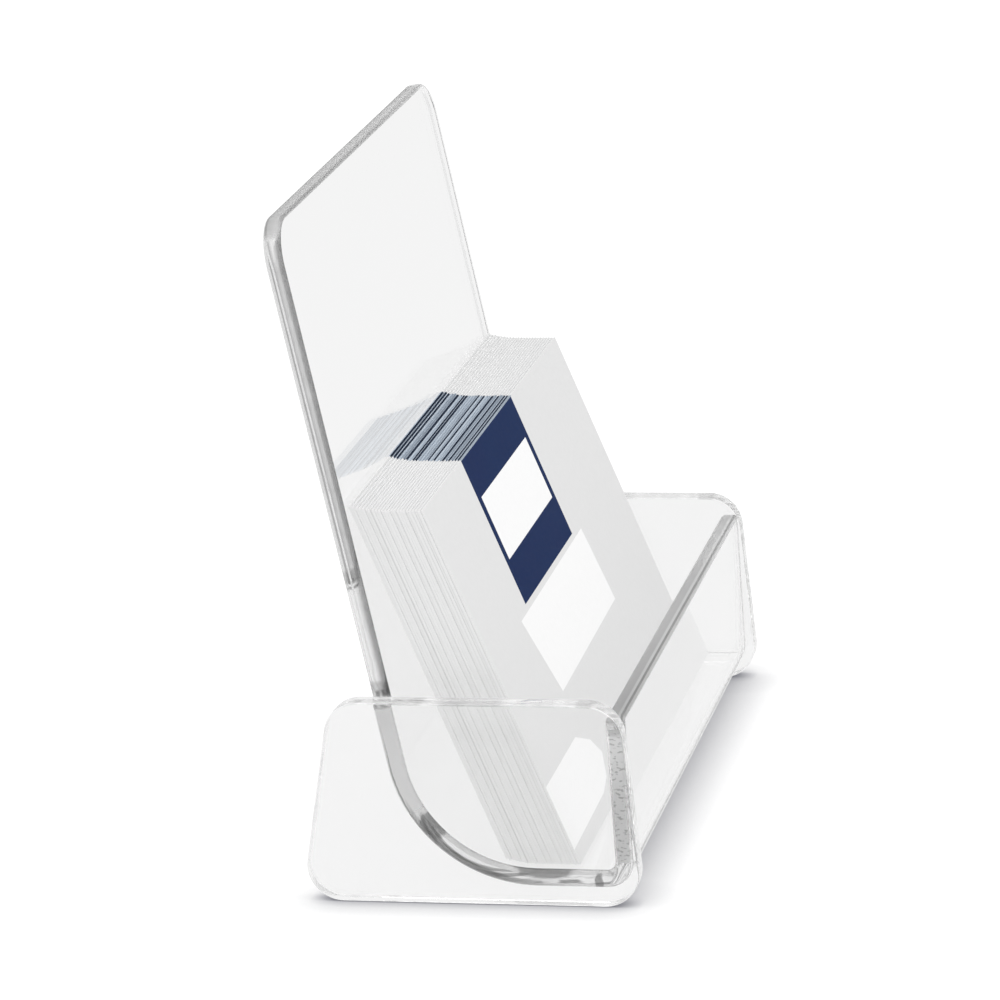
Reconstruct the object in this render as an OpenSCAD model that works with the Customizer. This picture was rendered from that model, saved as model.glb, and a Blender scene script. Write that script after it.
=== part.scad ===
// Card holder for a desk: one heat-bent clear sheet makes the back panel, the floor and
// the front lip, and two clear end plates, bonded to its short ends, carry it just above
// the desk. A stack of printed cards stands in the pocket and leans on the back panel.
// X runs along the width, Y from the front lip to the back panel, and Z up. The origin is
// the middle of the whole outline, on the desk.

/* [Cards] */
// Width of a card, along the holder
card_w = 90; // [60:1:110]
// Height of a card, along its face
card_h = 54; // [46:1:62]
// Thickness of a card
card_t = 0.37; // [0.2:0.01:0.42]
// Air between neighbouring cards
card_gap = 0.03; // [0.02:0.01:0.08]
// Number of cards in the stack
card_count = 24; // [4:1:28]
// How much further the cards lean than the back panel, in degrees
card_slope = 11; // [8:0.5:12]
// How far a card may stand off the middle of the stack
card_stray = 0.08; // [0:0.02:0.8]

/* [Bent sheet] */
// Thickness of the sheet
sheet_t = 2.5; // [2:0.1:4]
// Room between the short edges of the stack and each end plate
side_room = 2; // [1:0.1:5]
// Height of the back panel's top edge above the desk
panel_top = 95.5; // [75:0.5:120]
// Lean of the back panel from upright, in degrees
panel_lean = 10; // [6:0.5:13]
// Radius of the back panel's top corners
panel_corner_r = 6; // [2:0.5:15]
// Inside radius of the bend between the floor and the back panel
back_bend_r = 18; // [16:0.5:22]
// Length of the flat floor between its two bends
floor_flat = 9.75; // [6:0.25:20]
// Inside radius of the bend between the floor and the lip
lip_bend_r = 1.2; // [0.6:0.1:3]
// Forward lean of the lip from upright, in degrees, and backward where it is below zero
lip_lean = -1; // [-3:0.5:6]
// Air between the floor and the desk
floor_lift = 2; // [0.5:0.1:5]

/* [End plates] */
// Thickness of an end plate
plate_t = 3; // [2:0.1:5]
// Height of an end plate
plate_h = 29; // [25:0.5:45]
// Radius of an end plate's corners
plate_corner_r = 5; // [2:0.25:8]
// How far the end plates rise above the lip
lip_drop = 2.4; // [0.5:0.1:5]
// How far the end plates' front foot reaches past the lip's foot
front_foot = 1.5; // [1:0.1:6]
// How far the end plates' top reaches behind the back panel
back_margin = 5.6; // [2:0.1:10]
// How far the end plates' back foot reaches behind their top
back_foot = 5.6; // [2:0.1:12]

/* [Hidden] */
$fn = 128;
// Air between the stack and what it stands and leans on
seat_gap = 0.05;
// How far a cutter runs past what it cuts
overrun = 1;
// How much a rounding disc exceeds the radius that it makes
hair = 0.01;
// Turn from one card to the next in the rule for their strays, in degrees
stray_turn = 137.5;

// All places below are measured from the front foot of the end plates, along Y and Z
pocket_w = card_w + 2 * side_room;
floor_top = floor_lift + sheet_t;
lip_top = plate_h - lip_drop;
lip_outer_r = lip_bend_r + sheet_t;
lip_centre = [front_foot + lip_outer_r * (1 - sin(lip_lean)) / cos(lip_lean), floor_top + lip_bend_r];
back_centre = [lip_centre.x + floor_flat, floor_top + back_bend_r];

// Directions in the side view: up along a face that leans back, and square to it
function up(lean) = [sin(lean), cos(lean)];
function back(lean) = [cos(lean), -sin(lean)];
function angle_to(angle) = [cos(angle), sin(angle)];

// Outward directions, from the pocket's side of the panel and of the lip
panel_out = back(panel_lean);
lip_out = -back(-lip_lean);

// Where the panel and the lip leave their bends and where they end, on the pocket's side,
// and the lip's outer foot and outer top edge
panel_start = back_centre + back_bend_r * panel_out;
panel_length = (panel_top - panel_start.y) / cos(panel_lean);
panel_end = panel_start + panel_length * up(panel_lean);
lip_start = lip_centre + lip_bend_r * lip_out;
lip_foot = lip_start + sheet_t * lip_out;
lip_length = (lip_top - lip_foot.y) / cos(lip_lean);
lip_end = lip_start + lip_length * up(-lip_lean);
lip_tip = lip_end + sheet_t * lip_out;

// Corners of an end plate, from the front foot round to the front top
plate_front_top = lip_tip * plate_h / lip_top;
panel_back_at_plate_top = panel_start.x + (plate_h - panel_start.y) * tan(panel_lean)
    + sheet_t / cos(panel_lean);
plate_back_top = [panel_back_at_plate_top + back_margin, plate_h];
plate_corners = [[0, 0], [plate_back_top.x + back_foot, 0], plate_back_top, plate_front_top];

// The whole outline's middle, which becomes the origin
outline_front = rounding_centre(0).x - plate_corner_r;
outline_back = max((panel_end + sheet_t * panel_out).x, rounding_centre(1).x + plate_corner_r);
middle = (outline_front + outline_back) / 2;

function unit(v) = v / norm(v);
function neighbour(i, step) = plate_corners[(i + step + len(plate_corners)) % len(plate_corners)];
function side_from(i, step) = unit(neighbour(i, step) - plate_corners[i]);
// Half the angle between the two sides that meet at a corner
function half_angle(i) = acos(side_from(i, 1) * side_from(i, -1)) / 2;
function rounding_centre(i) =
    plate_corners[i] + unit(side_from(i, 1) + side_from(i, -1)) * plate_corner_r / sin(half_angle(i));
function rounding_end(i, step) = plate_corners[i] + side_from(i, step) * plate_corner_r / tan(half_angle(i));

// The stack leans on the panel with the top edge of its last card, and each card stands
// on its own back lower edge, on the flat floor or on the bend behind it
stack_lean = panel_lean + card_slope;
card_pitch = card_t + card_gap;
seat_r = back_bend_r - seat_gap;
// Angle on the bend, from straight down, at which the last card stands
last_angle = asin(1 - card_h * sin(card_slope) / seat_r) - panel_lean;
last_foot_on_floor = [
    back_centre.x + (seat_r - card_h * sin(card_slope) - seat_r * sin(panel_lean)) / cos(panel_lean),
    floor_top + seat_gap
];
last_foot_on_bend = back_centre + seat_r * [sin(last_angle), -cos(last_angle)];
last_foot = last_angle > 0 ? last_foot_on_bend : last_foot_on_floor;
// Distance of a card's back face from the origin of the side view, square to the cards
function card_face(number) = last_foot * back(stack_lean) - (card_count - number) * card_pitch;
// Where a card's back face meets the flat floor, and where it meets the bend
function foot_on_floor(face) = let (z = floor_top + seat_gap)
    [(face + z * sin(stack_lean)) / cos(stack_lean), z];
function foot_on_bend(face) = let (offset = face - back_centre * back(stack_lean))
    back_centre + offset * back(stack_lean) - sqrt(seat_r ^ 2 - offset ^ 2) * up(stack_lean);
function card_foot(number) = let (flat = foot_on_floor(card_face(number)))
    flat.x > back_centre.x ? foot_on_bend(card_face(number)) : flat;
function card_name(number) = str("card_", number < 10 ? "0" : "", number);

// A side view, drawn along Y and Z, made a solid of a given width along X
module across(width) {
    translate([-width / 2, -middle, 0]) rotate([90, 0, 90]) linear_extrude(width) children();
}

// A bend in the side view, filled up to its centre: the part of a disc between the two
// directions in which the bend starts and ends. The disc is a hair too large and a little
// too long, so that it crosses the flat stretches at a clear angle and ends inside them.
module filled_bend(centre, radius, first_angle, last_angle) {
    disc_r = radius + hair;
    past = 2 * acos(radius / disc_r);
    translate(centre) intersection() {
        circle(disc_r);
        polygon([
            [0, 0],
            2 * disc_r * angle_to(first_angle - past),
            2 * disc_r * angle_to((first_angle + last_angle) / 2),
            2 * disc_r * angle_to(last_angle + past)
        ]);
    }
}

// The pocket in the side view, grown by a skin, with its two sides lengthened and its top
// closed through the given points
module pocket_side_view(skin, extra, top_points) {
    polygon(concat([
        lip_end + extra * up(-lip_lean) + skin * lip_out,
        lip_start + skin * lip_out,
        [lip_centre.x, floor_top - skin],
        [back_centre.x, floor_top - skin],
        panel_start + skin * panel_out,
        panel_end + extra * up(panel_lean) + skin * panel_out
    ], top_points));
    filled_bend(lip_centre, lip_bend_r + skin, 180 + lip_lean, 270);
    filled_bend(back_centre, back_bend_r + skin, 270, 360 - panel_lean);
}

module sheet_side_view() {
    difference() {
        pocket_side_view(sheet_t, 0, [panel_end - overrun * panel_out, lip_end - overrun * lip_out]);
        pocket_side_view(0, overrun, [[lip_tip.x, panel_end.y + overrun]]);
    }
}

// What is cut away to round a corner: what a disc leaves of the kite between the disc's
// centre, the two rounding ends and the corner. The kite is drawn larger about the disc's
// centre, which is the origin here, so that it runs past the corner. The disc is a hair
// too large, so that it crosses both sides at a clear angle.
module corner_waste(radius, end_a, corner, end_b) {
    growth = (radius + overrun) / radius;
    difference() {
        polygon([[0, 0], growth * end_a, growth * corner, growth * end_b]);
        circle(radius + hair);
    }
}

module bent_sheet() {
    color([0.93, 0.95, 0.96, 0.45]) difference() {
        across(pocket_w) sheet_side_view();
        translate([0, panel_end.x - middle, panel_end.y]) rotate([-panel_lean, 0, 0])
            for (side = [0, 1]) mirror([side, 0, 0])
                translate([pocket_w / 2 - panel_corner_r, sheet_t + overrun, -panel_corner_r])
                    rotate([90, 0, 0]) linear_extrude(sheet_t + 2 * overrun)
                        corner_waste(panel_corner_r, [panel_corner_r, 0],
                            [panel_corner_r, panel_corner_r], [0, panel_corner_r]);
    }
}

module plate_outline() {
    difference() {
        polygon(plate_corners);
        for (i = [0:len(plate_corners) - 1]) {
            centre = rounding_centre(i);
            translate(centre) corner_waste(plate_corner_r, rounding_end(i, -1) - centre,
                plate_corners[i] - centre, rounding_end(i, 1) - centre);
        }
    }
}

module end_plate() {
    color([0.93, 0.95, 0.96, 0.45])
        translate([(pocket_w + plate_t) / 2, 0, 0]) across(plate_t) plate_outline();
}

module left_end_plate() {
    mirror([1, 0, 0]) end_plate();
}

module right_end_plate() {
    end_plate();
}

module card(number) {
    foot = card_foot(number);
    stray = card_stray * sin(number * stray_turn);
    color([0.9, 0.9, 0.9])
        translate([stray - card_w / 2, foot.x - middle, foot.y]) rotate([-stack_lean, 0, 0])
            translate([0, -card_t, 0]) cube([card_w, card_t, card_h]);
}

bent_sheet();
left_end_plate();
right_end_plate();
for (number = [1:card_count])
    card(number);
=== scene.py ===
# A clear acrylic stand for business cards and its stack of printed cards, dressed round the CAD frame
import bpy
import math
import numpy as np
from mathutils import Matrix, Vector


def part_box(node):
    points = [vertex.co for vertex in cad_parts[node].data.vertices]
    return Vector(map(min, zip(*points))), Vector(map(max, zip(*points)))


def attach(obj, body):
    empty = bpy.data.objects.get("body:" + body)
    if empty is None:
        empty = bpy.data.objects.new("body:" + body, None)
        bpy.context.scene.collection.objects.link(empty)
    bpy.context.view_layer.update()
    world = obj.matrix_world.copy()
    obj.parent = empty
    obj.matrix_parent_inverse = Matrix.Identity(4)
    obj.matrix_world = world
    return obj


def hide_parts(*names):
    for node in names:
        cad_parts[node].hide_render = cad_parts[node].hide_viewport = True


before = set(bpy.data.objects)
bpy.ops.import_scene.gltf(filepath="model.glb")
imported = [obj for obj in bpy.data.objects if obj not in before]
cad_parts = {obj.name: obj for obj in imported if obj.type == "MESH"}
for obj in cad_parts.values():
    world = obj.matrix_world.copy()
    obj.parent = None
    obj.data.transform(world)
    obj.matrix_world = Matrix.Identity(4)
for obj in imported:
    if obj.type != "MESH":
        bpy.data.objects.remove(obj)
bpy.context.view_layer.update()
scene = bpy.context.scene
mm = 0.001
print("frame loaded with", len(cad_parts), "CAD nodes")

cameraSettings = {
    "place": (-677.11 * mm, -153.33 * mm, 249.77 * mm),
    "heading": 76.94,   # degrees from +Y towards +X
    "tilt": 16.578,     # degrees below the horizon
    "roll": -3.43,      # degrees
    "lens": 180.57,     # mm, on the sensor below
    "sensor": 36.0,     # mm
    "clip": (10 * mm, 20),   # metres
}


# Forward comes from the heading and the tilt. Right is level at first, and then right and up
# both turn about forward by the roll.
def makeCamera(settings):
    heading, tilt, roll = (math.radians(settings[name]) for name in ("heading", "tilt", "roll"))
    level = Vector((math.cos(heading), -math.sin(heading), 0))
    ahead = Vector((math.sin(heading), math.cos(heading), 0))
    forward = math.cos(tilt) * ahead - math.sin(tilt) * Vector((0, 0, 1))
    upright = level.cross(forward)
    right = math.cos(roll) * level + math.sin(roll) * upright
    up = math.cos(roll) * upright - math.sin(roll) * level
    data = bpy.data.cameras.new("camera")
    data.sensor_width = settings["sensor"]
    data.lens = settings["lens"]
    data.clip_start, data.clip_end = settings["clip"]
    camera = bpy.data.objects.new("camera", data)
    scene.collection.objects.link(camera)
    turn = Matrix((right, up, -forward)).transposed()
    camera.matrix_world = Matrix.Translation(settings["place"]) @ turn.to_4x4()
    scene.camera = camera


makeCamera(cameraSettings)
print("camera placed")


# Unit vectors at the given angles, in degrees, in a plane
def direction(degrees):
    angle = np.radians(degrees)
    return np.stack([np.cos(angle), np.sin(angle)], -1)


# Points round a circle from one angle to another, with their outward directions
def cornerArc(centre, radius, start, end, steps):
    outward = direction(np.linspace(start, end, steps + 1))
    return np.asarray(centre) + radius * outward, outward


# One side of an outline, from its foot to its head: stretches of points joined end to end
def chain(*stretches):
    points, outward = zip(*stretches)
    return np.concatenate(points), np.concatenate(outward)


# The right and the left side of an outline that is the same on both. A corner is given by its radius and
# its steps. Between the two corners the side is straight, with points at the given heights.
def evenSides(half, length, footCorner, headCorner, heights):
    (foot, footSteps), (head, headSteps) = footCorner, headCorner
    straight = np.stack([np.full(len(heights), half), heights], -1), np.tile([1.0, 0.0], (len(heights), 1))
    right = chain(
        cornerArc((half - foot, foot), foot, -90, 0, footSteps),
        straight,
        cornerArc((half - head, length - head), head, 0, 90, headSteps),
    )
    return right, tuple(values * [-1, 1] for values in right)


# A slab with rounded edges. Its rings follow the outline at an inset of r (1 - sin a) and a depth of
# r (1 - cos a), with a from 0 to 90 degrees, and the same again from the far face. Rungs from the right
# chain to the left one close the two faces. place turns (across, along, depth) into a point in space.
# rim is 0 on the faces and 1 on the edges, laid is (across, along, depth) in mm, and the map's u runs
# round the outline.
def makeSlab(name, right, left, settings, place):
    radius, thickness = settings["edgeRadius"], settings["thickness"]
    outline = np.concatenate([right[0], left[0][::-1]])
    outward = np.concatenate([right[1], left[1][::-1]])
    angle = np.linspace(0, math.pi / 2, settings["edgeSteps"] + 1)
    faceInset = radius + settings["faceMargin"]
    nearInsets = np.concatenate([[faceInset], radius * (1 - np.sin(angle))])
    nearDepths = np.concatenate([[0], radius * (1 - np.cos(angle))])
    insets = np.concatenate([nearInsets, nearInsets[::-1]])
    depths = np.concatenate([nearDepths, thickness - nearDepths[::-1]])
    flat = outline - insets[:, None, None] * outward
    deep = np.broadcast_to(depths[:, None], flat.shape[:2])
    laid = np.stack([flat[..., 0], flat[..., 1], deep], -1) / mm
    points = place(flat[..., 0], flat[..., 1], deep)

    rings, around = points.shape[:2]
    index = np.arange(rings * around).reshape(rings, around)
    following = np.roll(index, -1, axis=1)
    edgeFaces = np.stack([index[:-1], following[:-1], following[1:], index[1:]], -1).reshape(-1, 4)
    rights, lefts = np.arange(around // 2), around - 1 - np.arange(around // 2)
    rungs = np.stack([rights[:-1], rights[1:], lefts[1:], lefts[:-1]], -1)
    farFaces = rungs + (rings - 1) * around
    faces = np.concatenate([edgeFaces, rungs[:, ::-1], farFaces])

    steps = np.linalg.norm(np.roll(outline, -1, axis=0) - outline, axis=1)
    run = np.concatenate([[0], np.cumsum(steps)])
    profile = np.stack([insets, depths], -1)
    climb = np.concatenate([[0], np.cumsum(np.linalg.norm(np.diff(profile, axis=0), axis=1))])
    u = np.broadcast_to(np.stack([run[:-1], run[1:], run[1:], run[:-1]], -1), (rings - 1, around, 4))
    v = np.broadcast_to(np.stack([climb[:-1], climb[:-1], climb[1:], climb[1:]], -1)[:, None], u.shape)
    edgeMap = np.stack([u, v], -1).reshape(-1, 4, 2)
    faceMap = outline[rungs]
    uv = np.concatenate([edgeMap, faceMap[:, ::-1], faceMap])

    points = points.reshape(-1, 3)
    corner = points[faces]
    areas = np.cross(corner[:, 2] - corner[:, 0], corner[:, 3] - corner[:, 1]) / 2
    if np.sum(corner.mean(1) * areas) < 0:
        faces, uv = faces[:, ::-1], uv[:, ::-1]

    mesh = bpy.data.meshes.new(name)
    mesh.from_pydata(points.tolist(), [], faces.tolist())
    mesh.shade_smooth()
    mesh.uv_layers.new(name="edgeRun").data.foreach_set("uv", uv.reshape(-1))
    rim = np.repeat(np.clip(1 - insets / radius, 0, 1), around)
    mesh.attributes.new("rim", "FLOAT", "POINT").data.foreach_set("value", rim)
    mesh.attributes.new("laid", "FLOAT_VECTOR", "POINT").data.foreach_set("vector", laid.reshape(-1))
    piece = bpy.data.objects.new(name, mesh)
    scene.collection.objects.link(piece)
    return piece


bentSheet = {
    "thickness": 2.5 * mm,
    "lipDrop": 2.4 * mm,           # how far the lip's top lies below the end plates' top
    "lipLean": -1,                 # degrees, forwards
    "lipBendRadius": 1.2 * mm,     # on the pocket's side
    "floorFlat": 9.75 * mm,
    "backBendRadius": 18 * mm,     # on the pocket's side
    "panelLean": 10,               # degrees, backwards
    "lipCorner": (0.8 * mm, 4),    # radius and steps
    "topCorner": (6 * mm, 20),
    "edgeRadius": 0.6 * mm,
    "edgeSteps": 8,
    "faceMargin": 0.12 * mm,       # flat ring beside each rounded edge
    "bondGap": 0.03 * mm,          # cement between the sheet's ends and the plates
    "rowsAlong": (8, 10, 3, 48, 12),  # on the lip, its bend, the floor, its bend and the panel
    "rowsFrom": 1.6 * mm,          # the rows keep this clear of the outline's foot
    "rowsTo": 6.6 * mm,            # and this of its head, for the corners
}
endPlates = {
    "thickness": 3 * mm,
    "cornerRadius": 5 * mm,
    "frontFoot": 1.5 * mm,         # how far the front foot reaches past the lip's foot
    "backMargin": 5.6 * mm,        # how far the top reaches behind the panel
    "backFoot": 5.6 * mm,          # how far the back foot reaches behind the top
    "edgeRadius": 0.25 * mm,
    "edgeSteps": 5,
    "faceMargin": 0.12 * mm,
    "cornerSteps": 20,
}


# The pocket's side of the bent sheet, seen from its end: lip, bend, floor, bend and panel. The outward
# direction is constant on a straight stretch and turns evenly on a bend. A point is its stretch's start,
# plus the bend's radius times the change of that direction, plus the straight distance along it. The
# panel's back top edge is the box's upper back corner, and the whole path is laid back from there.
class BentPath:
    def __init__(self, sheet, low, high, plateTop):
        lipOut, floorOut, panelOut = 180 + sheet["lipLean"], 270, 360 - sheet["panelLean"]
        self.turns = np.array([lipOut, lipOut, floorOut, floorOut, panelOut, panelOut], float)
        self.outs = direction(self.turns)
        self.radii = np.array([0, sheet["lipBendRadius"], 0, sheet["backBendRadius"], 0])
        floorTop = low.z + sheet["thickness"]
        lipFootHeight = (floorTop + sheet["lipBendRadius"]
                         + (sheet["lipBendRadius"] + sheet["thickness"]) * self.outs[0][1])
        panelFootHeight = floorTop + sheet["backBendRadius"] * (1 + self.outs[4][1])
        lipRise = plateTop - sheet["lipDrop"] - lipFootHeight
        lipLength = lipRise / math.cos(math.radians(sheet["lipLean"]))
        panelLength = (high.z - panelFootHeight) / math.cos(math.radians(sheet["panelLean"]))
        self.straights = np.array([lipLength, 0, sheet["floorFlat"], 0, panelLength])
        lengths = self.straights + self.radii * np.radians(np.diff(self.turns))
        self.knots = np.concatenate([[0], np.cumsum(lengths)])
        aheads = np.stack([-self.outs[:-1, 1], self.outs[:-1, 0]], -1)
        moves = self.radii[:, None] * np.diff(self.outs, axis=0) + self.straights[:, None] * aheads
        walked = np.concatenate([[[0, 0]], np.cumsum(moves, axis=0)])
        end = np.array([high.y - sheet["thickness"] * self.outs[-1][0], high.z])
        self.starts = end - walked[-1] + walked

    def place(self, across, along, depth):
        stretch = np.clip(np.searchsorted(self.knots, along, "right") - 1, 0, len(self.radii) - 1)
        out = direction(np.interp(along, self.knots, self.turns))
        ahead = np.stack([-out[..., 1], out[..., 0]], -1)
        walked = (along - self.knots[stretch]) * (self.straights[stretch] > 0)
        bent = self.radii[stretch][..., None] * (out - self.outs[stretch])
        point = self.starts[stretch] + bent + walked[..., None] * ahead + depth[..., None] * out
        return np.stack([across, point[..., 0], point[..., 1]], -1)


sheetLow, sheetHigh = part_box("bent_sheet")
plateLow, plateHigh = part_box("right_end_plate")
path = BentPath(bentSheet, sheetLow, sheetHigh, plateHigh.z)


# The sheet's outline laid flat: square corners on the lip, where the plates hold it, and round ones on top
def makeBentSheet(settings):
    half, length = sheetHigh.x - settings["bondGap"], path.knots[-1]
    rows = np.concatenate([
        np.linspace(start, end, count, endpoint=False)
        for start, end, count in zip(path.knots[:-1], path.knots[1:], settings["rowsAlong"])
    ])
    rows = rows[(rows > settings["rowsFrom"]) & (rows < length - settings["rowsTo"])]
    right, left = evenSides(half, length, settings["lipCorner"], settings["topCorner"], rows)
    return makeSlab("clear_bent_sheet", right, left, settings, path.place)


# An end plate's outline in its own plane, from its front foot: two leaning sides, each between two arcs
def makeEndPlate(name, side, settings):
    lipOut, lipLean = path.outs[0], math.radians(bentSheet["lipLean"])
    outerRadius = bentSheet["lipBendRadius"] + bentSheet["thickness"]
    lipCentreY = path.starts[2][0]
    footY = lipCentreY - outerRadius * (1 - math.sin(lipLean)) / math.cos(lipLean) - settings["frontFoot"]
    lipTip = path.starts[0] + bentSheet["thickness"] * lipOut
    height = plateHigh.z
    frontTop = (lipTip - [footY, 0]) * height / lipTip[1] + [footY, 0]
    panelLean = math.radians(bentSheet["panelLean"])
    panelStart = path.starts[4]
    panelBack = (panelStart[0] + (height - panelStart[1]) * math.tan(panelLean)
                 + bentSheet["thickness"] / math.cos(panelLean))
    backTop = np.array([panelBack + settings["backMargin"], height])
    frontFoot, backFoot = np.array([footY, 0]), np.array([backTop[0] + settings["backFoot"], 0])
    radius, steps = settings["cornerRadius"], settings["cornerSteps"]

    # The arc that rounds a corner lies r (n1 + n2) / (1 + n1 . n2) inside it, for side directions n1 and n2
    def rounded(corner, first, last):
        normals = direction(np.array([first, last]))
        centre = corner - radius * normals.sum(0) / (1 + normals[0] @ normals[1])
        return cornerArc(centre, radius, first, last, steps)

    frontAngle = 180 - math.degrees(math.atan2(frontTop[0] - frontFoot[0], height))
    backAngle = math.degrees(math.atan2(settings["backFoot"], height))
    back = chain(rounded(backFoot, -90, backAngle), rounded(backTop, backAngle, 90))
    front = chain(rounded(frontFoot, 270, frontAngle), rounded(frontTop, frontAngle, 90))

    def place(along, up, depth):
        return np.stack([side * (plateLow.x + depth), along, up], -1)

    return makeSlab(name, back, front, settings, place)


sheetPiece = makeBentSheet(bentSheet)
leftPlate = makeEndPlate("clear_left_plate", -1, endPlates)
rightPlate = makeEndPlate("clear_right_plate", 1, endPlates)
clearPieces = {"bent_sheet": sheetPiece, "left_end_plate": leftPlate, "right_end_plate": rightPlate}
for node, piece in clearPieces.items():
    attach(piece, "holder")
    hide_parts(node)
print("sheet and end plates made")


# One shader node: settings are its own properties, and inputs maps its sockets to values or links
def addNode(tree, kind, inputs=(), **settings):
    node = tree.nodes.new("ShaderNode" + kind)
    for name, value in settings.items():
        setattr(node, name, value)
    for socket, value in dict(inputs).items():
        if isinstance(value, bpy.types.NodeSocket):
            tree.links.new(value, node.inputs[socket])
        else:
            node.inputs[socket].default_value = value
    return node


# The result of one Math node
def calc(tree, operation, *values):
    return addNode(tree, "Math", enumerate(values), operation=operation).outputs[0]


# 1 where a value lies between two others, and 0 elsewhere
def between(tree, value, low, high):
    above, below = calc(tree, "GREATER_THAN", value, low), calc(tree, "LESS_THAN", value, high)
    return calc(tree, "MULTIPLY", above, below)


# 0 before start, 1 past end and a smooth change between them, whichever of the two is larger
def soft(tree, value, start, end):
    ends = {0: value, 1: start, 2: end}
    return addNode(tree, "MapRange", ends, interpolation_type="SMOOTHSTEP").outputs[0]


# 1 on a line where a value is at a place, and 0 away from it. Its soft border is given by two distances
# from the place: the one that it reaches out to, and the one at which it starts.
def lineAt(tree, value, place, border):
    return soft(tree, calc(tree, "ABSOLUTE", calc(tree, "SUBTRACT", value, place)), *border)


# 1 inside an ellipse with the given middle and half lengths, 0 outside it, with a soft border
def blot(tree, x, y, middle, half, border):
    squares = []
    for value, centre, length in zip((x, y), middle, half):
        share = calc(tree, "DIVIDE", calc(tree, "SUBTRACT", value, centre), length)
        squares.append(calc(tree, "MULTIPLY", share, share))
    distance = calc(tree, "SQRT", calc(tree, "ADD", *squares))
    return soft(tree, distance, 1 + border, 1 - border)


# From one value to another by a mask
def mixed(tree, mask, under, over):
    return calc(tree, "MULTIPLY_ADD", mask, calc(tree, "SUBTRACT", over, under), under)


# A value times the given level where a mask is 1, and left alone where it is 0
def toned(tree, value, mask, level):
    return calc(tree, "MULTIPLY", value, calc(tree, "MULTIPLY_ADD", mask, level - 1, 1))


# A value times a patch's level where the patch lies: an ellipse's middle, half lengths and border, and
# the level
def patched(tree, value, x, y, patch):
    middle, half, border, level = patch
    return toned(tree, value, blot(tree, x, y, middle, half, border), level)


# Noise that changes with a place. The scale is per unit of that place.
def noise(tree, place, scale, detail, roughness=0.5):
    inputs = {"Vector": place, "Scale": scale, "Detail": detail, "Roughness": roughness}
    return addNode(tree, "TexNoise", inputs).outputs[0]


# How far a value is past its start, moved back and forth by a noise over the given span
def wandering(tree, value, start, wave, span):
    return calc(tree, "MULTIPLY_ADD", wave, span, calc(tree, "SUBTRACT", value, start + span / 2))


# One colour over another by a mask
def blend(tree, mask, under, over):
    node = addNode(tree, "Mix", {0: mask, 6: under, 7: over}, data_type="RGBA")
    return node.outputs[2]


# A picture's colour, given as grey levels from 0 to 255, as the linear colour that a shader takes
def paint(red, green, blue):
    levels = np.array([red, green, blue]) / 255
    linear = np.where(levels > 0.04045, ((levels + 0.055) / 1.055) ** 2.4, levels / 12.92)
    return (*linear, 1)


def newMaterial(name):
    material = bpy.data.materials.new(name)
    material.use_nodes = True
    tree = material.node_tree
    tree.nodes.clear()
    return material, tree


acrylic = {
    "refraction": 1.49,
    "darkening": 0.7,                # per metre of acrylic
    "tint": (0, 0, 0.005, 1),        # what the darkening spares of each colour
    "markSpacing": 4,                # mm
    "markStretch": 0.12,             # how fast the saw marks change through the edge, of how fast along it
    "markNoise": (1, 0.4),           # detail and roughness
    "markDepth": 0.001 * mm,
    "grainScale": 1.6,               # per mm, of frosted places
    "hazeScale": 0.06,               # per mm, of the faces' polish
    "faceRoughness": 0.01,           # where the haze is full
    "frostRoughness": 0.33,          # at the least, and what the grain adds
    "frostGrain": 0.06,
    "sheetMarks": 0.04,              # roughness of the sheet's and the plates' saw marks
    "plateMarks": 0.06,
}


# Edge finish of cut acrylic: polished saw marks run through the thickness, so the noise is stretched
# along v of the edge map, and frosted places are rough. Faces keep a faint polish haze.
def makeCutEdge(settings):
    group = bpy.data.node_groups.new("cutEdge", "ShaderNodeTree")
    defaults = {"Mark spacing": 1, "Mark roughness": 0.1, "Frost": 0, "Face roughness": 0}
    for name, default in defaults.items():
        socket = group.interface.new_socket(name, in_out="INPUT", socket_type="NodeSocketFloat")
        socket.default_value = default
    for name in ("Roughness", "Height"):
        group.interface.new_socket(name, in_out="OUTPUT", socket_type="NodeSocketFloat")
    given = group.nodes.new("NodeGroupInput").outputs
    rim = addNode(group, "Attribute", attribute_name="rim").outputs["Fac"]
    edgeRun = addNode(group, "UVMap", uv_map="edgeRun").outputs[0]
    perMm = calc(group, "DIVIDE", 1 / mm, given["Mark spacing"])
    through = calc(group, "MULTIPLY", perMm, settings["markStretch"])
    stretch = addNode(group, "CombineXYZ", {0: perMm, 1: through, 2: 1}).outputs[0]
    along = addNode(group, "VectorMath", {0: edgeRun, 1: stretch}, operation="MULTIPLY").outputs[0]
    marks = noise(group, along, 1, *settings["markNoise"])
    place = addNode(group, "TexCoord").outputs["Object"]
    grain = noise(group, place, settings["grainScale"] / mm, 2)
    haze = noise(group, place, settings["hazeScale"] / mm, 3)
    faceRough = calc(group, "MULTIPLY", given["Face roughness"], haze)
    edgeRough = calc(group, "MULTIPLY", calc(group, "MULTIPLY", given["Mark roughness"], marks), rim)
    frosted = calc(group, "MULTIPLY_ADD", grain, settings["frostGrain"], settings["frostRoughness"])
    frostRough = calc(group, "MULTIPLY", frosted, given["Frost"])
    rough = calc(group, "ADD", calc(group, "ADD", faceRough, edgeRough), frostRough)
    height = calc(group, "MULTIPLY", marks, rim)
    out = group.nodes.new("NodeGroupOutput")
    group.links.new(rough, out.inputs["Roughness"])
    group.links.new(height, out.inputs["Height"])
    return group


cutEdge = makeCutEdge(acrylic)


# The point's place on the piece as it lay before bending, in mm: across, along and through
def laidPlace(tree):
    laid = addNode(tree, "Attribute", attribute_name="laid").outputs["Vector"]
    return addNode(tree, "SeparateXYZ", {0: laid}).outputs


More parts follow.
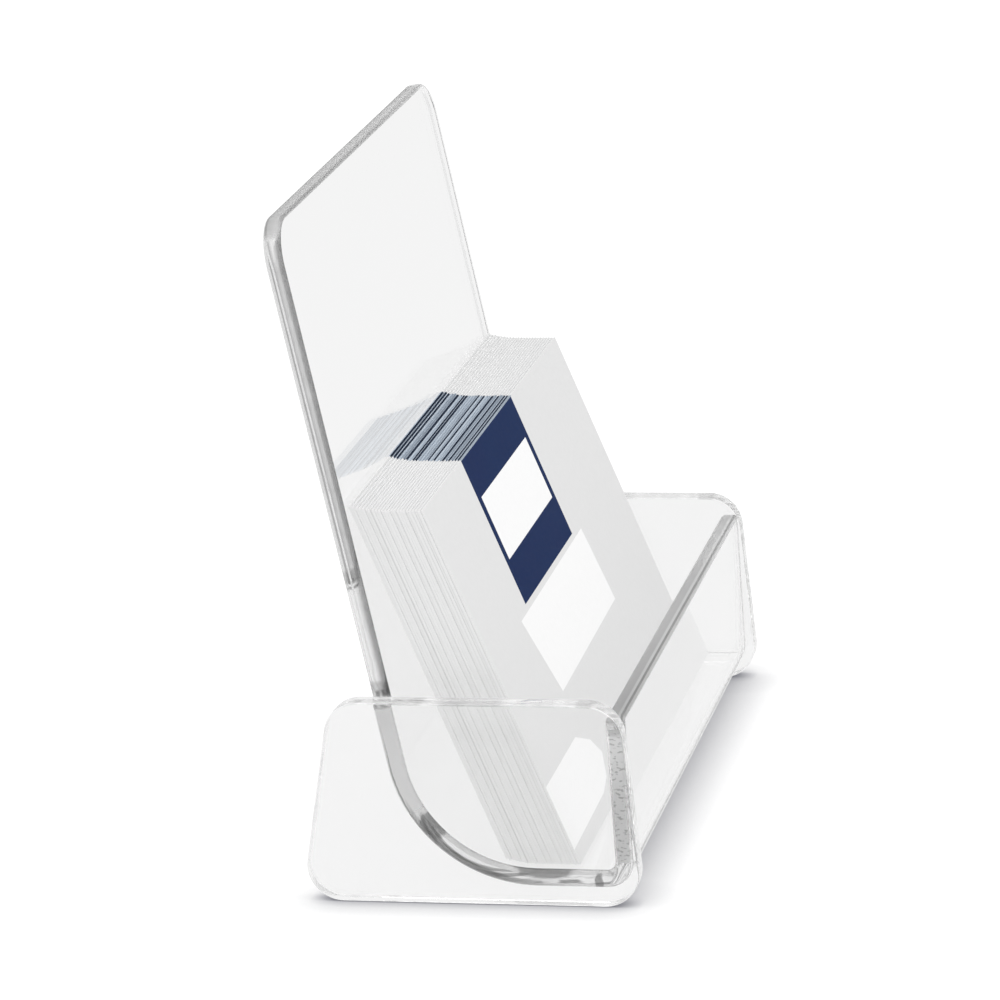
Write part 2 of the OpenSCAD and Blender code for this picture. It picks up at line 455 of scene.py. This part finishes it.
# 1 on the cut edges and 0 on the faces
def onEdges(tree):
    rimStart, rimEnd = 0, 0.1
    return soft(tree, addNode(tree, "Attribute", attribute_name="rim").outputs["Fac"], rimStart, rimEnd)


# Places along the laid sheet, in mm from the lip's top: where the lip ends, where the floor starts and
# where the panel ends, and last where the panel leaves the plates
lipEnd, floorFrom, sheetLength = path.knots[1] / mm, path.knots[2] / mm, path.knots[-1] / mm
panelRise = (plateHigh.z - path.starts[4][1]) / math.cos(math.radians(bentSheet["panelLean"]))
platesTo = (path.knots[4] + panelRise) / mm

# Shades are the share of the light that an edge lets through. Apart from the cement's frost and specks on
# the lip, they are painted shade and painted highlights, which stand in for what the edges show by
# refraction.
# Places are in mm: along is measured from the lip's top, through from the pocket's side out, and across
# from the middle. A patch is an ellipse's middle and half lengths, along and through, the border's softness
# and the shade. A line is its place, its border's two distances and the shade. A change has the two places
# where it starts and ends.
sheetEdges = {
    "waveScale": 0.5,                # per mm, of the slow change that the streaks wander with
    "speckScale": 2.6,               # per mm
    "wander": (3, 0.5),              # along and through
    # Painted shade: patches on the ends of the floor and of its back bend, along from the floor's start
    "paintedStreaks": (
        ((8.7, 0.15), (4.0, 1.2), 0.25, 0.32),
        ((18.7, 1.75), (9.8, 0.42), 0.35, 0.34),
        ((25.8, 0.55), (1.8, 1.5), 0.2, 0.34),
        ((18.0, 2.3), (12.0, 0.35), 0.4, 0.62),
        ((31.5, 2.1), (7.0, 0.13), 0.5, 0.5),
        ((5.2, 1.6), (1.9, 0.28), 0.3, 0.34),
        ((0.9, 1.5), (0.35, 1.2), 0.3, 0.34),
    ),
    # A painted highlight between the streaks on the floor's ends
    "paintedGleam": ((17.9, 0.62), (6.3, 0.72), 0.2, 0.95),
    "lipFrostFrom": 1.5,             # cement has frosted the lip's ends, from here to the lip's foot
    "lipFrostDepth": (0.4, 2.2),
    "lipFrost": 0.84,
    "speckNoise": (0.55, 0.65),      # the change of the noise at which a speck starts
    "speck": 0.6,
    "lipHead": ((1.2, 1.2), (1.3, 1.3), 0.3, 0.7),
    "lipTopShade": (0.7, 0.92),           # painted shade on the lip's top, from the pocket's side out
    "lipTopChange": (1.4, 1.7),
    "lipTopLine": (2.1, (0.2, 0.1), 0.5),
    "lipTopAlong": (0.75, 0.55),
    "plateSlant": -0.2,              # how the plates' top crosses the panel's ends, along for each through
    "panelInner": 0.4,               # painted shade on the panel's ends, from the pocket's side out
    "panelOuter": 1.1,
    "panelChange": (0.1, 1.6),
    "panelWave": 0.3,                # the span of the slow change in the shade
    # Painted highlights near the panel's head: middle and half lengths
    "paintedPanelGleams": (((131.5, 1.4), (0.8, 0.4)), ((133.2, 0.9), (1.2, 0.35))),
    "paintedGleamBorder": 0.3,
    "panelPatch": ((1.2, 1.2), (1.0, 2.0), 0.4, 0.6),   # painted shade, along from where the panel leaves the plates
    "panelStart": (-0.1, 0.3),       # from there too
    "panelFoot": (-0.5, (0.35, 0.15), 0.45),            # and this painted dark line
    "top": (0.74, 0.9),              # painted shade on the panel's top, from the outer side in
    "topChange": (2.0, 0.2),
    "stripeSlant": 1.2,              # across for each through
    "stripeTurn": 2.4,               # radians per mm across
    "stripeAcross": (14, 22),        # painted light stripes across one end
    "stripeThrough": (1.5, 0.9),
    "stripeChange": (0, 0.8),
    "topLine": (2.05, (0.25, 0.1), 0.65),
    "topRim": (2.15, 2.3),           # a painted light line along the top's back
    "topAlong": (3, 1),              # short of the panel's top
    "cementFrom": 26,                # cement clouds the bend's ends, along from the floor's start
    "cementChange": 4,
    "cementTo": (-0.8, -1.6),        # from where the panel leaves the plates
}


# Ends of the floor and of its back bend: grey streaks of painted shade with a painted highlight between
# them, standing in for what the ends show by refraction
def floorTone(tree, along, through, wave):
    spanAlong, spanThrough = sheetEdges["wander"]
    run = wandering(tree, along, floorFrom, wave, spanAlong)
    deep = wandering(tree, through, 0, wave, spanThrough)
    tone = 1.0
    for streak in sheetEdges["paintedStreaks"]:
        tone = patched(tree, tone, run, deep, streak)
    middle, half, border, level = sheetEdges["paintedGleam"]
    return mixed(tree, blot(tree, run, deep, middle, half, border), tone, level)


# Where cement has frosted the lip's ends
def lipFrost(tree, along, through):
    return calc(tree, "MULTIPLY", between(tree, along, sheetEdges["lipFrostFrom"], lipEnd),
                between(tree, through, *sheetEdges["lipFrostDepth"]))


# The lip's frosted ends with their cement specks and darker heads, and its top in painted shade, darker
# towards the pocket's side, with a painted dark line along it
def lipTone(tree, along, through, tone, frost, grain):
    speck = calc(tree, "MULTIPLY", frost, soft(tree, grain, *sheetEdges["speckNoise"]))
    tone = toned(tree, toned(tree, tone, frost, sheetEdges["lipFrost"]), speck, sheetEdges["speck"])
    tone = patched(tree, tone, along, through, sheetEdges["lipHead"])
    top = mixed(tree, soft(tree, through, *sheetEdges["lipTopChange"]), *sheetEdges["lipTopShade"])
    place, border, level = sheetEdges["lipTopLine"]
    top = toned(tree, top, lineAt(tree, through, place, border), level)
    return mixed(tree, soft(tree, along, *sheetEdges["lipTopAlong"]), tone, top)


# The panel's ends in painted shade, dark towards the pocket, with painted highlights near the head and
# a painted dark line where they leave the plates
def panelTone(tree, along, through, tone, wave):
    slanted = calc(tree, "MULTIPLY_ADD", through, sheetEdges["plateSlant"], along)
    inwards = soft(tree, through, *sheetEdges["panelChange"])
    panel = mixed(tree, inwards, sheetEdges["panelInner"], sheetEdges["panelOuter"])
    span = sheetEdges["panelWave"]
    panel = calc(tree, "MULTIPLY", panel, calc(tree, "MULTIPLY_ADD", wave, span, 1 - span / 2))
    for middle, half in sheetEdges["paintedPanelGleams"]:
        paintedGleam = blot(tree, along, through, middle, half, sheetEdges["paintedGleamBorder"])
        panel = mixed(tree, paintedGleam, panel, 1)
    (patchAlong, patchThrough), half, border, level = sheetEdges["panelPatch"]
    patch = ((platesTo + patchAlong, patchThrough), half, border, level)
    panel = patched(tree, panel, slanted, through, patch)
    start, end = sheetEdges["panelStart"]
    tone = mixed(tree, soft(tree, slanted, platesTo + start, platesTo + end), tone, panel)
    place, border, level = sheetEdges["panelFoot"]
    return toned(tree, tone, lineAt(tree, slanted, platesTo + place, border), level)


# The panel's top in painted shade, with painted light stripes at one end, a painted dark line and a
# painted light one along its back
def topTone(tree, across, through):
    top = mixed(tree, soft(tree, through, *sheetEdges["topChange"]), *sheetEdges["top"])
    slanted = calc(tree, "MULTIPLY_ADD", through, sheetEdges["stripeSlant"], across)
    stripeWave = calc(tree, "SINE", calc(tree, "MULTIPLY", slanted, sheetEdges["stripeTurn"]))
    striped = calc(tree, "MULTIPLY", soft(tree, across, *sheetEdges["stripeAcross"]),
                   soft(tree, through, *sheetEdges["stripeThrough"]))
    paintedLight = calc(tree, "MULTIPLY", striped, soft(tree, stripeWave, *sheetEdges["stripeChange"]))
    top = mixed(tree, paintedLight, top, 1)
    place, border, level = sheetEdges["topLine"]
    top = toned(tree, top, lineAt(tree, through, place, border), level)
    return mixed(tree, soft(tree, through, *sheetEdges["topRim"]), top, 1)


# Painted shade and frost of the bent sheet's edges. The frost covers what cement has clouded on the lip's
# and the bend's ends, and the two tops.
def sheetShades(tree):
    across, along, through = laidPlace(tree)
    half = calc(tree, "MULTIPLY", through, 0.5)      # the noises change more slowly through the edge
    spot = addNode(tree, "CombineXYZ", {0: across, 1: along, 2: half}).outputs[0]
    wave = noise(tree, spot, sheetEdges["waveScale"], 2)
    grain = noise(tree, spot, sheetEdges["speckScale"], 1)
    frost = lipFrost(tree, along, through)
    tone = floorTone(tree, along, through, wave)
    tone = lipTone(tree, along, through, tone, frost, grain)
    tone = panelTone(tree, along, through, tone, wave)
    start, end = sheetEdges["topAlong"]
    onTop = soft(tree, along, sheetLength - start, sheetLength - end)
    tone = mixed(tree, onTop, tone, topTone(tree, across, through))

    tops = calc(tree, "ADD", onTop, soft(tree, along, *sheetEdges["lipTopAlong"]))
    cementFrom, cementTo = floorFrom + sheetEdges["cementFrom"], sheetEdges["cementTo"]
    cement = calc(tree, "MULTIPLY", soft(tree, along, cementFrom, cementFrom + sheetEdges["cementChange"]),
                  soft(tree, along, platesTo + cementTo[0], platesTo + cementTo[1]))
    frost = calc(tree, "MAXIMUM", calc(tree, "MAXIMUM", frost, cement), tops)
    edges = onEdges(tree)
    frost = calc(tree, "MULTIPLY", edges, frost)
    return calc(tree, "MINIMUM", mixed(tree, edges, 1, tone), 1), frost


# Painted shade on an end plate's edges, standing in for what they show of darker things by refraction:
# slow stretches of faint grey and a few grey patches, in mm along and up the plate
plateEdges = {
    "waveScale": 0.22,               # per mm
    "stretches": (0.52, 0.6),        # the change of the noise at which a stretch starts
    "stretch": 0.92,
    # Middle and half lengths of patches of painted shade: three on the top and one on the bottom
    "marks": (
        ((7.2, 29.0), (2.2, 0.8)),
        ((-1.5, 29.0), (4.8, 0.8)),
        ((-17.6, 29.0), (1.1, 0.8)),
        ((10.9, 0.0), (0.9, 0.6)),
    ),
    "shadePatchBorder": 0.3,
    "shadePatchLevel": 0.8,
}


# Painted shade on an end plate's clear edges, which have no frost
def plateShades(tree):
    across, along, _ = laidPlace(tree)
    spot = addNode(tree, "CombineXYZ", {0: across, 1: along, 2: 0}).outputs[0]
    wave = noise(tree, spot, plateEdges["waveScale"], 2)
    edges = onEdges(tree)
    stretches = calc(tree, "MULTIPLY", edges, soft(tree, wave, *plateEdges["stretches"]))
    tone = toned(tree, 1.0, stretches, plateEdges["stretch"])
    for middle, half in plateEdges["marks"]:
        shadePatchLevel = blot(tree, across, along, middle, half, plateEdges["shadePatchBorder"])
        tone = toned(tree, tone, calc(tree, "MULTIPLY", edges, shadePatchLevel), plateEdges["shadePatchLevel"])
    return tone, 0.0


# Clear acrylic, with the darkening that its long paths show at the edges, and the painted shade of its
# edges in its colour
def clearAcrylic(name, markRoughness, shades):
    material, tree = newMaterial(name)
    tone, frost = shades(tree)
    edge = addNode(tree, "Group", {"Frost": frost}, node_tree=cutEdge)
    edge.inputs["Mark spacing"].default_value = acrylic["markSpacing"]
    edge.inputs["Mark roughness"].default_value = markRoughness
    edge.inputs["Face roughness"].default_value = acrylic["faceRoughness"]
    bump = addNode(tree, "Bump", {"Height": edge.outputs["Height"], "Distance": acrylic["markDepth"]})
    shader = addNode(tree, "BsdfPrincipled", {
        "Base Color": calc(tree, "MULTIPLY", tone, tone),  # one crossing is tinted by its square root
        "Roughness": edge.outputs["Roughness"],
        "IOR": acrylic["refraction"],
        "Transmission Weight": 1,
        "Normal": bump.outputs[0],
    })
    inside = addNode(tree, "VolumeAbsorption", {"Color": acrylic["tint"], "Density": acrylic["darkening"]})
    addNode(tree, "OutputMaterial", {"Surface": shader.outputs[0], "Volume": inside.outputs[0]})
    return material


sheetPiece.data.materials.append(clearAcrylic("clearSheet", acrylic["sheetMarks"], sheetShades))
plateMaterial = clearAcrylic("clearPlate", acrylic["plateMarks"], plateShades)
for piece in (leftPlate, rightPlate):
    piece.data.materials.append(plateMaterial)
print("acrylic finished")

cardStack = {
    "count": 24,
    "singles": 12,                 # the front ones, which lift one by one
    "lean": math.radians(21),
    "width": 90 * mm,
    "height": 54 * mm,
    "pitch": 0.40 * mm,
    "cadThickness": 0.37 * mm,
    "thickness": 0.39 * mm,        # a pressed stack shows hardly any air between its cards
    "corner": (0.15 * mm, 3),      # radius and steps
    "edgeRadius": 0.015 * mm,
    "edgeSteps": 2,
    "faceMargin": 0.05 * mm,
    "rows": 12,
    "rowMargin": 0.30 * mm,        # the rows keep this clear of the card's foot and head
}
cardStack["backwards"] = np.array([0, math.cos(cardStack["lean"]), -math.sin(cardStack["lean"])])
cardStack["upwards"] = np.array([0, math.sin(cardStack["lean"]), math.cos(cardStack["lean"])])


# The middle of a card's back lower edge, on which it stands
def cardFoot(number, settings):
    low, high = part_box(f"card_{number:02d}")
    backEdge = low.y + settings["cadThickness"] * math.cos(settings["lean"])
    return np.array([(low.x + high.x) / 2, backEdge, low.z])


# A card's outline has small round corners. Across, up and depth are measured from its back lower edge.
def makeCard(number, settings):
    foot = cardFoot(number, settings)
    height, margin, corner = settings["height"], settings["rowMargin"], settings["corner"]
    rows = np.linspace(margin, height - margin, settings["rows"])
    right, left = evenSides(settings["width"] / 2, height, corner, corner, rows)

    def place(across, up, depth):
        along = across[..., None] * [1, 0, 0] + up[..., None] * settings["upwards"]
        return foot + along - depth[..., None] * settings["backwards"]

    return makeSlab(f"printed_card_{number:02d}", right, left, settings, place)


# Places and lengths are in mm, across a card from its left and up from its foot
cardPrint = {
    "paper": paint(232, 232, 232),
    # The ends and tops are painted a little darker than the face, as shade
    "ends": paint(231, 231, 231),
    "tops": paint(228, 228, 228),
    "navy": paint(26, 49, 89),
    "navyWarm": paint(31, 45, 87),
    "blank": paint(255, 255, 255),
    "block": (23.7, 57.2, 31.4),             # the dark block's two sides and its foot
    "label": (25.4, 55.6, 37.9, 47.7),       # the blank label's sides, foot and head
    "middlePanel": ((18.9, 30.4), (62.3, 30.6), (63.5, 18.5), (23.0, 17.9)),
    "lowerPanel": ((0, 11.9), (20.6, 11.9), (26.2, 9.4), (28.9, 6.4), (26.2, 3.5), (21.9, 2.5), (0, 2.2)),
    "cardSpread": 0.014,       # how much darker a card may be than the lightest
    "fibreScale": 1.2,         # per mm
    "fibreShade": 0.04,        # the span of the fibres' light and dark
    "fibreDepth": 0.002 * mm,
    "fibreBump": 0.1,
    "cloudScale": 0.08,        # per mm, of the block's slow change from one navy to the other
    "roughness": 0.6,
    "inkGloss": 0.2,           # how much smoother the dark block is
    "fibreRoughness": 0.1,
    "specular": 0.01,          # specular level
    "edgeLight": paint(194, 204, 215),
    "edgeMid": paint(146, 156, 168),
    "edgeDark": paint(36, 46, 64),
    "worn": 0.17,              # how much of a face, at its top, has lost its print
    "jag": 0.7,                # how far the ink's ends on the cards' tops lie apart
    "streakStretch": 0.04,     # how much the ink's streaks change per mm across, for one card's change
    "streakScale": 4,          # per card
    # The ink's grey, from 0 to 1: what the card's own chance and the streaks add, and what is taken off
    "inkTone": (0.8, 0.8, 0.3),
    # Cards whose ink shows at the top, counted from the rear, with the share of the card that is dark
    "inkLines": (
        (0, 0.18), (1, 0.15), (2, 0.2), (5, 0.55), (7, 0.2), (8, 0.55),
        (12, 0.2), (14, 0.4), (17, 0.55), (19, 0.35), (21, 0.2), (22, 0.2),
    ),
    # Cards that a faint line of painted shade on the stack's ends lies in front of, with its strength. The
    # lines stand in for the gaps between cards
    "endShadeLines": ((2, 0.03), (6, 0.2), (14, 0.07), (17, 0.04), (19, 0.05), (21, 0.06)),
    "endShadeFrom": 0.6,        # where in a card's thickness its line of painted shade starts
}


# 1 inside a convex outline whose corners run clockwise: the product of one half-plane per side
def insideOutline(tree, x, y, corners):
    mask = 1.0
    for (x1, y1), (x2, y2) in zip(corners, corners[1:] + corners[:1]):
        rise = calc(tree, "MULTIPLY", calc(tree, "SUBTRACT", x, x1), y2 - y1)
        run = calc(tree, "MULTIPLY", calc(tree, "SUBTRACT", y, y1), x2 - x1)
        mask = calc(tree, "MULTIPLY", mask, calc(tree, "GREATER_THAN", rise, run))
    return mask


# The sum of the shares listed for cards, at the card whose number is given
def shareOfCard(tree, number, shares):
    total, tolerance = 0.0, 0.1
    for card, share in shares:
        chosen = calc(tree, "MULTIPLY", calc(tree, "COMPARE", number, card, tolerance), share)
        total = calc(tree, "ADD", total, chosen)
    return total


# How far a vector reaches along a direction
def reach(tree, vector, towards):
    inputs = {0: vector, 1: towards}
    return addNode(tree, "VectorMath", inputs, operation="DOT_PRODUCT").outputs["Value"]


# A vector or a colour times a number
def scaled(tree, vector, factor):
    return addNode(tree, "VectorMath", {0: vector, 3: factor}, operation="SCALE").outputs[0]


# Where a point lies in the stack, in mm: how many cards from the rear, its card's number from there, the
# share of that card's thickness behind it, and its place across and up the card
def stackPlace(tree, inMm, stack):
    pitch, count, upwards = stack["pitch"] / mm, stack["count"], stack["upwards"]
    halfGap = (pitch - stack["thickness"] / mm) / 2
    front = cardFoot(1, stack) / mm
    rear = cardFoot(count, stack) @ stack["backwards"] / mm
    ahead = calc(tree, "SUBTRACT", rear + halfGap, reach(tree, inMm, stack["backwards"]))
    depth = calc(tree, "DIVIDE", ahead, pitch)
    number = calc(tree, "FLOOR", depth)
    # Measured up along the cards, each foot lies this much above that of the card before it
    step = pitch * math.tan(stack["lean"])
    rise = calc(tree, "MULTIPLY", calc(tree, "SUBTRACT", count - 1, number), step)
    aboveFront = calc(tree, "SUBTRACT", reach(tree, inMm, upwards), front @ upwards)
    return {
        "depth": depth,
        "number": number,
        "within": calc(tree, "FRACT", depth),
        "across": calc(tree, "ADD", reach(tree, inMm, (1, 0, 0)), stack["width"] / 2 / mm - front[0]),
        "up": calc(tree, "SUBTRACT", aboveFront, rise),
    }


# Masks of a card's front, its top edge and its two ends: a face belongs to the one that its normal is
# within 60 degrees of
def cardSides(tree, normal, stack):
    least = 0.5
    sideways = calc(tree, "ABSOLUTE", reach(tree, normal, (1, 0, 0)))
    return {
        "front": calc(tree, "LESS_THAN", reach(tree, normal, stack["backwards"]), -least),
        "top": calc(tree, "GREATER_THAN", reach(tree, normal, stack["upwards"]), least),
        "ends": calc(tree, "GREATER_THAN", sideways, least),
    }


# Paper: each card a little lighter or darker than the next, with fine fibres, and faint lines of painted
# shade on the stack's ends, for the gaps between cards
def paperShade(tree, place, sides, chance, fibre, settings):
    spread, span = settings["cardSpread"], settings["fibreShade"]
    shade = calc(tree, "MULTIPLY_ADD", chance, spread, 1 - spread)
    shade = calc(tree, "MULTIPLY", shade, calc(tree, "MULTIPLY_ADD", fibre, span, 1 - span / 2))
    inLine = calc(tree, "GREATER_THAN", place["within"], settings["endShadeFrom"])
    shadeLines = calc(tree, "MULTIPLY", shareOfCard(tree, place["number"], settings["endShadeLines"]),
                 calc(tree, "MULTIPLY", sides["ends"], inLine))
    return calc(tree, "MULTIPLY", shade, calc(tree, "SUBTRACT", 1, shadeLines))


# Masks of the printed face's dark block, which runs off the top, and of its blank label and two panels
def faceMasks(tree, place, settings):
    across, up = place["across"], place["up"]
    left, right, foot = settings["block"]
    block = calc(tree, "MULTIPLY", between(tree, across, left, right), calc(tree, "GREATER_THAN", up, foot))
    left, right, foot, head = settings["label"]
    blank = calc(tree, "MULTIPLY", between(tree, across, left, right), between(tree, up, foot, head))
    for panel in ("middlePanel", "lowerPanel"):
        blank = calc(tree, "MAXIMUM", blank, insideOutline(tree, across, up, settings[panel]))
    return block, blank


# The block's ink on the cards' top edges: grey, light and dark cards, with ends that don't line up. It
# takes in the worn head of each face. Returned are its colour and its mask.
def inkedTops(tree, place, sides, chance, stack, settings):
    left, right, _ = settings["block"]
    jag = calc(tree, "MULTIPLY_ADD", chance, settings["jag"], -settings["jag"] / 2)
    high = calc(tree, "GREATER_THAN", place["up"], stack["height"] / mm - settings["worn"])
    worn = calc(tree, "MULTIPLY", sides["front"], high)
    inked = calc(tree, "MULTIPLY", calc(tree, "MAXIMUM", sides["top"], worn),
                 between(tree, calc(tree, "ADD", place["across"], jag), left, right))
    slow = calc(tree, "MULTIPLY", place["across"], settings["streakStretch"])
    spot = addNode(tree, "CombineXYZ", {0: slow, 1: place["depth"], 2: 0}).outputs[0]
    streak = noise(tree, spot, settings["streakScale"], 2)
    fromChance, fromStreak, less = settings["inkTone"]
    tone = calc(tree, "ADD", calc(tree, "MULTIPLY", chance, fromChance),
                calc(tree, "MULTIPLY_ADD", streak, fromStreak, -less))
    tone = addNode(tree, "Clamp", {0: tone}).outputs[0]
    grey = blend(tree, tone, settings["edgeMid"], settings["edgeLight"])
    darkShare = shareOfCard(tree, place["number"], settings["inkLines"])
    dark = calc(tree, "GREATER_THAN", calc(tree, "ADD", place["within"], darkShare), 1.0)
    return blend(tree, dark, grey, settings["edgeDark"]), inked


# One material for all the cards: it tells from the place in the stack which card it is on
def printedCard(stack, settings):
    material, tree = newMaterial("printedCard")
    coordinates = addNode(tree, "TexCoord").outputs
    inMm = scaled(tree, coordinates["Object"], 1 / mm)
    place = stackPlace(tree, inMm, stack)
    sides = cardSides(tree, coordinates["Normal"], stack)
    chance = addNode(tree, "TexWhiteNoise", {"W": place["number"]}, noise_dimensions="1D").outputs["Value"]
    fibre = noise(tree, inMm, settings["fibreScale"], 3)
    cloud = noise(tree, inMm, settings["cloudScale"], 2)
    block, blank = faceMasks(tree, place, settings)
    ink = calc(tree, "MULTIPLY", sides["front"], block)
    inkOnTop, inked = inkedTops(tree, place, sides, chance, stack, settings)

    # Ends and tops in their painted shade, then the print
    colour = blend(tree, sides["ends"], settings["paper"], settings["ends"])
    colour = blend(tree, sides["top"], colour, settings["tops"])
    colour = blend(tree, ink, colour, blend(tree, cloud, settings["navy"], settings["navyWarm"]))
    colour = blend(tree, calc(tree, "MULTIPLY", sides["front"], blank), colour, settings["blank"])
    colour = blend(tree, inked, colour, inkOnTop)
    gloss = calc(tree, "MULTIPLY_ADD", ink, -settings["inkGloss"], settings["roughness"])
    bump = addNode(tree, "Bump", {
        "Height": fibre,
        "Distance": settings["fibreDepth"],
        "Strength": settings["fibreBump"],
    })
    shader = addNode(tree, "BsdfPrincipled", {
        "Base Color": scaled(tree, colour, paperShade(tree, place, sides, chance, fibre, settings)),
        "Roughness": calc(tree, "MULTIPLY_ADD", fibre, settings["fibreRoughness"], gloss),
        "Specular IOR Level": settings["specular"],
        "Normal": bump.outputs[0],
    })
    addNode(tree, "OutputMaterial", {"Surface": shader.outputs[0]})
    return material


cardMaterial = printedCard(cardStack, cardPrint)
for number in range(1, cardStack["count"] + 1):
    piece = makeCard(number, cardStack)
    piece.data.materials.append(cardMaterial)
    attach(piece, f"card_{number:02d}_body" if number <= cardStack["singles"] else "card_block")
    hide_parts(f"card_{number:02d}")
print("cards printed")

studio = {
    "bounces": 48,                # a ray turns back many times between a sheet's faces
    "floorSide": 6.0,             # metres
    "floorBelow": 0.1 * mm,       # how far the floor lies below the plates
    "floorColour": paint(245, 245, 245),
    "white": 1.12,                # the floor as the camera sees it, a little over white
    "whiteShare": 0.92,           # how much of that white is even, and not lit
    # The shadows at the object's left and front: where the object is from there, how far a shadow
    # reaches, and its colour
    "shadows": (
        ((1, 0, 0.2), 8 * mm, paint(112, 112, 120)),
        ((0.05, 1, 0.3), 2.2 * mm, paint(190, 190, 197)),
    ),
    "shadowSamples": 16,
    "glassView": 0.905,           # the floor and the sky as glass shows them
    "glassShare": 0.9,
    "ambient": 0.94,              # the sky's light on the object
    "lampPower": 2.0,             # watts
    "lampSide": 0.5,              # metres
    "lampPlace": (-0.35, 0.1, 0.95),
}


# Light Path's answers as numbers: 1 for the camera's rays, and 1 for those that glass sends on
def rayKinds(tree):
    kinds = addNode(tree, "LightPath").outputs
    glass = calc(tree, "MAXIMUM", kinds["Is Glossy Ray"], kinds["Is Transmission Ray"])
    return kinds["Is Camera Ray"], glass


# The floor lights the object as a plain pale surface does. The camera sees it nearly white, with the
# object's shadow: what it loses of the real light, and a tight soft one where the object is close.
def makeFloor(settings):
    half, below = settings["floorSide"] / 2, -settings["floorBelow"]
    corners = [(-half, -half, below), (half, -half, below), (half, half, below), (-half, half, below)]
    mesh = bpy.data.meshes.new("floor")
    mesh.from_pydata(corners, [], [(0, 1, 2, 3)])
    floor = bpy.data.objects.new("floor", mesh)
    scene.collection.objects.link(floor)
    material, tree = newMaterial("paleFloor")
    camera, glass = rayKinds(tree)
    shown = (1, 1, 1)
    for towards, distance, colour in settings["shadows"]:
        facing = Vector(towards).normalized()
        inputs = {"Distance": distance, "Normal": facing}
        near = addNode(tree, "AmbientOcclusion", inputs, samples=settings["shadowSamples"]).outputs["AO"]
        shade = blend(tree, calc(tree, "MAXIMUM", near, glass), colour, (1, 1, 1, 1))
        shown = addNode(tree, "VectorMath", {0: shown, 1: shade}, operation="MULTIPLY").outputs[0]
    even = calc(tree, "ADD", calc(tree, "MULTIPLY", camera, settings["whiteShare"]),
                calc(tree, "MULTIPLY", glass, settings["glassShare"]))
    strength = calc(tree, "ADD", calc(tree, "MULTIPLY", camera, settings["white"]),
                    calc(tree, "MULTIPLY", glass, settings["glassView"]))
    pale = addNode(tree, "BsdfDiffuse", {"Color": settings["floorColour"]})
    glow = addNode(tree, "Emission", {"Color": shown, "Strength": strength})
    joined = addNode(tree, "MixShader", {0: even, 1: pale.outputs[0], 2: glow.outputs[0]})
    addNode(tree, "OutputMaterial", {"Surface": joined.outputs[0]})
    mesh.materials.append(material)


# A sky that the camera sees as white, and glass as a little darker, and a large soft lamp
def makeLight(settings):
    world = bpy.data.worlds.new("studio")
    scene.world = world
    world.use_nodes = True
    tree = world.node_tree
    tree.nodes.clear()
    camera, glass = rayKinds(tree)
    ambient = settings["ambient"]
    strength = calc(tree, "MULTIPLY_ADD", camera, 1 - ambient, ambient)
    strength = calc(tree, "MULTIPLY_ADD", glass, settings["glassView"] - ambient, strength)
    sky = addNode(tree, "Background", {"Color": (1, 1, 1, 1), "Strength": strength})
    addNode(tree, "OutputWorld", {"Surface": sky.outputs[0]})
    data = bpy.data.lights.new("softbox", "AREA")
    data.energy = settings["lampPower"]
    data.size = settings["lampSide"]
    lamp = bpy.data.objects.new("softbox", data)
    place = Vector(settings["lampPlace"])
    turn = (-place).to_track_quat("-Z", "Y").to_matrix().to_4x4()
    lamp.matrix_world = Matrix.Translation(place) @ turn
    scene.collection.objects.link(lamp)


makeFloor(studio)
makeLight(studio)
scene.view_settings.view_transform = "Standard"
scene.cycles.max_bounces = studio["bounces"]
scene.cycles.transmission_bounces = studio["bounces"]
scene.cycles.glossy_bounces = studio["bounces"]
scene.cycles.blur_glossy = 0      # a blur would make the acrylic shade the cards behind it
print("studio lit")
